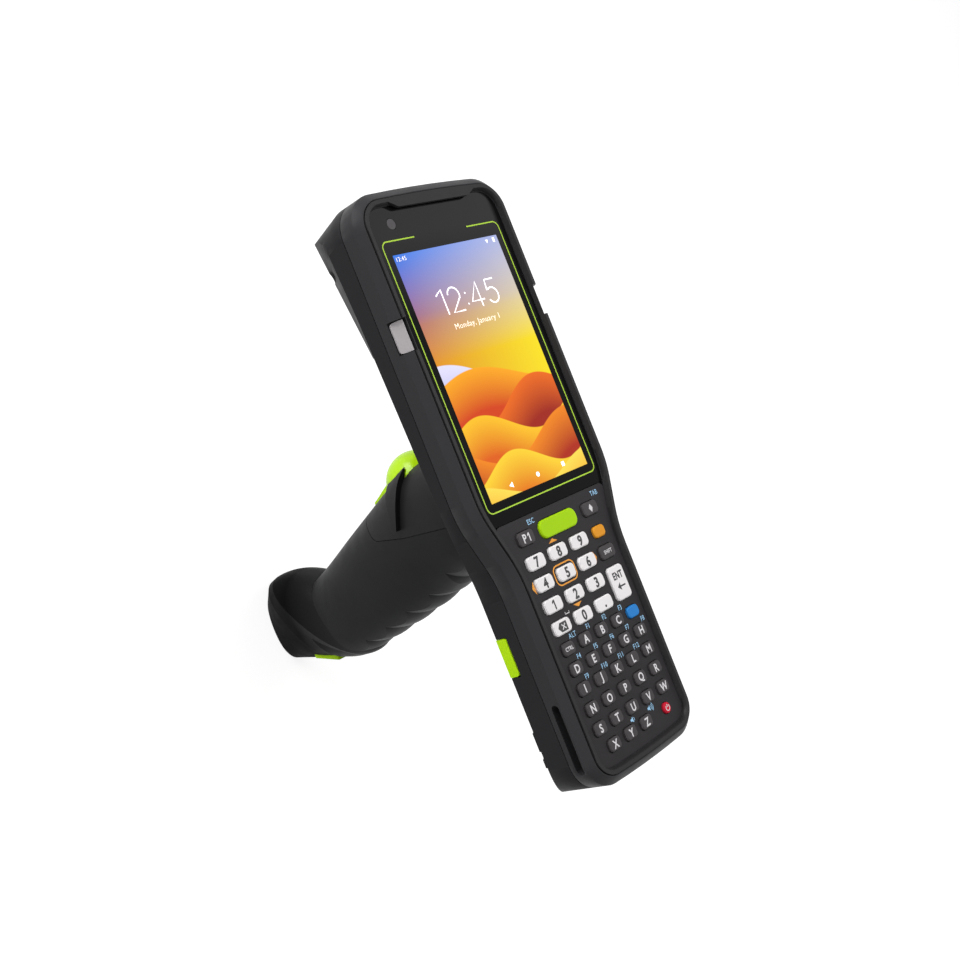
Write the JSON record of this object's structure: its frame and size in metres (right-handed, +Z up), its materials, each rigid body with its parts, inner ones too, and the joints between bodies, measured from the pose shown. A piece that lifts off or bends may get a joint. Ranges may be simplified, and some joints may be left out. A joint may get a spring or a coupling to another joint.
{
  "type": "portable barcode data terminal",
  "caption": "Rugged handheld scanning terminal with a large display, a full keypad, a scanner window in the end and a pistol grip with a trigger.",
  "frame": {"origin": "on the surface that the foot stands on, under the middle of the bounding box", "axes": "+Z up, out of the display; +Y towards the scanner end; +X to the right as the display is read"},
  "size_m": [0.0748, 0.2105, 0.1671],
  "materials": {
    "front_case": "fine satin texture",
    "rear_case": "fine satin texture",
    "bezel": "satin",
    "gasket": "matte",
    "cover_glass": "polished, dark border",
    "display": "lit panel",
    "sensor_lens": "smooth",
    "speaker": "matte",
    "chassis": "as cast",
    "board": "solder mask",
    "keypad_plate": "satin",
    "key_mat": "matte",
    "side_key": "satin",
    "scan_window": "polished",
    "scan_engine": "matte",
    "battery_case": "fine satin texture",
    "battery_cells": "foil",
    "latch": "satin",
    "contact_block": "matte",
    "contacts": "plated",
    "screws": "black zinc",
    "grip_neck": "satin",
    "grip_handle": "satin",
    "trigger": "semi-gloss",
    "pin": "ground",
    "spring": "drawn wire",
    "switch": "matte",
    "grey_key": "satin",
    "white_key": "satin",
    "lime_key": "satin",
    "orange_key": "satin",
    "blue_key": "satin",
    "red_key": "satin"
  },
  "bodies": {
    "terminal": {"front_housing": "front_case", "front_bezel": "bezel", "housing_gasket": "gasket", "rear_housing": "rear_case", "display_glass": "cover_glass", "display_module": "display", "light_sensor": "sensor_lens", "speaker": "speaker", "chassis_frame": "chassis", "main_board": "board", "keypad_plate": "keypad_plate", "key_mat": "key_mat", "scan_window": "scan_window", "scan_engine": "scan_engine", "battery_contacts": "contact_block", "charge_contacts": "contacts", "housing_screws": "screws", "grip_screws": "screws", "grip_neck": "grip_neck", "grip_handle": "grip_handle", "lanyard_clip": "latch", "trigger_pin": "pin", "trigger_spring": "spring", "trigger_switch": "switch"},
    "trigger_body": {"trigger": "trigger"},
    "battery_body": {"battery_pack": "battery_case", "battery_cells": "battery_cells"},
    "latch_left_body": {"battery_latch_left": "latch"},
    "latch_right_body": {"battery_latch_right": "latch"},
    "side_key_left_body": {"side_key_left": "side_key"},
    "side_key_right_body": {"side_key_right": "side_key"},
    "key_p1_body": {"key_p1": "grey_key"},
    "key_scan_body": {"key_scan": "lime_key"},
    "key_tab_body": {"key_tab": "grey_key"},
    "key_orange_body": {"key_orange": "orange_key"},
    "key_shift_body": {"key_shift": "grey_key"},
    "key_enter_body": {"key_enter": "white_key"},
    "key_ctrl_body": {"key_ctrl": "grey_key"},
    "key_blue_body": {"key_blue": "blue_key"},
    "key_7_body": {"key_7": "white_key"},
    "key_8_body": {"key_8": "white_key"},
    "key_9_body": {"key_9": "white_key"},
    "key_4_body": {"key_4": "white_key"},
    "key_5_body": {"key_5": "white_key"},
    "key_6_body": {"key_6": "white_key"},
    "key_1_body": {"key_1": "white_key"},
    "key_2_body": {"key_2": "white_key"},
    "key_3_body": {"key_3": "white_key"},
    "key_backspace_body": {"key_backspace": "white_key"},
    "key_0_body": {"key_0": "white_key"},
    "key_dot_body": {"key_dot": "white_key"},
    "key_power_body": {"key_power": "red_key"},
    "keys_a_to_c_body": {"keys_a_to_c": "grey_key"},
    "keys_d_to_h_body": {"keys_d_to_h": "grey_key"},
    "keys_i_to_m_body": {"keys_i_to_m": "grey_key"},
    "keys_n_to_r_body": {"keys_n_to_r": "grey_key"},
    "keys_s_to_w_body": {"keys_s_to_w": "grey_key"},
    "keys_x_to_z_body": {"keys_x_to_z": "grey_key"}
  },
  "joints": [
    {"name": "trigger_pull", "type": "hinge", "parent": "terminal", "child": "trigger_body", "pos_m": [0, 0.00835, 0.127], "axis": [-1, 0, 0], "range_deg": [0, 6], "stiffness_Nm_per_rad": 0.6, "deforming": ["trigger_spring"]},
    {"name": "battery_slide", "type": "slide", "parent": "terminal", "child": "battery_body", "axis": [0, 0, -1], "range_m": [0, 0.025]},
    {"name": "latch_left_press", "type": "slide", "parent": "battery_body", "child": "latch_left_body", "axis": [1, 0, 0], "range_m": [0, 0.002], "stiffness_N_per_m": 300},
    {"name": "latch_right_press", "type": "slide", "parent": "battery_body", "child": "latch_right_body", "axis": [-1, 0, 0], "range_m": [0, 0.002], "stiffness_N_per_m": 300},
    {"name": "side_key_left_press", "type": "slide", "parent": "terminal", "child": "side_key_left_body", "axis": [1, 0, 0], "range_m": [0, 0.0006], "stiffness_N_per_m": 500},
    {"name": "side_key_right_press", "type": "slide", "parent": "terminal", "child": "side_key_right_body", "axis": [-1, 0, 0], "range_m": [0, 0.0006], "stiffness_N_per_m": 500},
    {"name": "key_scan_press", "type": "slide", "parent": "terminal", "child": "key_scan_body", "axis": [0, 0, -1], "range_m": [0, 0.0008], "stiffness_N_per_m": 400},
    {"name": "key_enter_press", "type": "slide", "parent": "terminal", "child": "key_enter_body", "axis": [0, 0, -1], "range_m": [0, 0.0008], "stiffness_N_per_m": 400},
    {"name": "key_power_press", "type": "slide", "parent": "terminal", "child": "key_power_body", "axis": [0, 0, -1], "range_m": [0, 0.0008], "stiffness_N_per_m": 400},
    {"name": "keys_a_to_c_press", "type": "slide", "parent": "terminal", "child": "keys_a_to_c_body", "axis": [0, 0, -1], "range_m": [0, 0.0008], "stiffness_N_per_m": 400},
    {"name": "keys_d_to_h_press", "type": "slide", "parent": "terminal", "child": "keys_d_to_h_body", "axis": [0, 0, -1], "range_m": [0, 0.0008], "stiffness_N_per_m": 400},
    {"name": "keys_i_to_m_press", "type": "slide", "parent": "terminal", "child": "keys_i_to_m_body", "axis": [0, 0, -1], "range_m": [0, 0.0008], "stiffness_N_per_m": 400},
    {"name": "keys_n_to_r_press", "type": "slide", "parent": "terminal", "child": "keys_n_to_r_body", "axis": [0, 0, -1], "range_m": [0, 0.0008], "stiffness_N_per_m": 400},
    {"name": "keys_s_to_w_press", "type": "slide", "parent": "terminal", "child": "keys_s_to_w_body", "axis": [0, 0, -1], "range_m": [0, 0.0008], "stiffness_N_per_m": 400},
    {"name": "keys_x_to_z_press", "type": "slide", "parent": "terminal", "child": "keys_x_to_z_body", "axis": [0, 0, -1], "range_m": [0, 0.0008], "stiffness_N_per_m": 400},
    {"name": "key_p1_press", "type": "slide", "parent": "terminal", "child": "key_p1_body", "axis": [0, 0, -1], "range_m": [0, 0.0008], "stiffness_N_per_m": 400},
    {"name": "key_tab_press", "type": "slide", "parent": "terminal", "child": "key_tab_body", "axis": [0, 0, -1], "range_m": [0, 0.0008], "stiffness_N_per_m": 400},
    {"name": "key_orange_press", "type": "slide", "parent": "terminal", "child": "key_orange_body", "axis": [0, 0, -1], "range_m": [0, 0.0008], "stiffness_N_per_m": 400},
    {"name": "key_shift_press", "type": "slide", "parent": "terminal", "child": "key_shift_body", "axis": [0, 0, -1], "range_m": [0, 0.0008], "stiffness_N_per_m": 400},
    {"name": "key_ctrl_press", "type": "slide", "parent": "terminal", "child": "key_ctrl_body", "axis": [0, 0, -1], "range_m": [0, 0.0008], "stiffness_N_per_m": 400},
    {"name": "key_blue_press", "type": "slide", "parent": "terminal", "child": "key_blue_body", "axis": [0, 0, -1], "range_m": [0, 0.0008], "stiffness_N_per_m": 400},
    {"name": "key_7_press", "type": "slide", "parent": "terminal", "child": "key_7_body", "axis": [0, 0, -1], "range_m": [0, 0.0008], "stiffness_N_per_m": 400},
    {"name": "key_8_press", "type": "slide", "parent": "terminal", "child": "key_8_body", "axis": [0, 0, -1], "range_m": [0, 0.0008], "stiffness_N_per_m": 400},
    {"name": "key_9_press", "type": "slide", "parent": "terminal", "child": "key_9_body", "axis": [0, 0, -1], "range_m": [0, 0.0008], "stiffness_N_per_m": 400},
    {"name": "key_4_press", "type": "slide", "parent": "terminal", "child": "key_4_body", "axis": [0, 0, -1], "range_m": [0, 0.0008], "stiffness_N_per_m": 400},
    {"name": "key_5_press", "type": "slide", "parent": "terminal", "child": "key_5_body", "axis": [0, 0, -1], "range_m": [0, 0.0008], "stiffness_N_per_m": 400},
    {"name": "key_6_press", "type": "slide", "parent": "terminal", "child": "key_6_body", "axis": [0, 0, -1], "range_m": [0, 0.0008], "stiffness_N_per_m": 400},
    {"name": "key_1_press", "type": "slide", "parent": "terminal", "child": "key_1_body", "axis": [0, 0, -1], "range_m": [0, 0.0008], "stiffness_N_per_m": 400},
    {"name": "key_2_press", "type": "slide", "parent": "terminal", "child": "key_2_body", "axis": [0, 0, -1], "range_m": [0, 0.0008], "stiffness_N_per_m": 400},
    {"name": "key_3_press", "type": "slide", "parent": "terminal", "child": "key_3_body", "axis": [0, 0, -1], "range_m": [0, 0.0008], "stiffness_N_per_m": 400},
    {"name": "key_backspace_press", "type": "slide", "parent": "terminal", "child": "key_backspace_body", "axis": [0, 0, -1], "range_m": [0, 0.0008], "stiffness_N_per_m": 400},
    {"name": "key_0_press", "type": "slide", "parent": "terminal", "child": "key_0_body", "axis": [0, 0, -1], "range_m": [0, 0.0008], "stiffness_N_per_m": 400},
    {"name": "key_dot_press", "type": "slide", "parent": "terminal", "child": "key_dot_body", "axis": [0, 0, -1], "range_m": [0, 0.0008], "stiffness_N_per_m": 400}
  ]
}
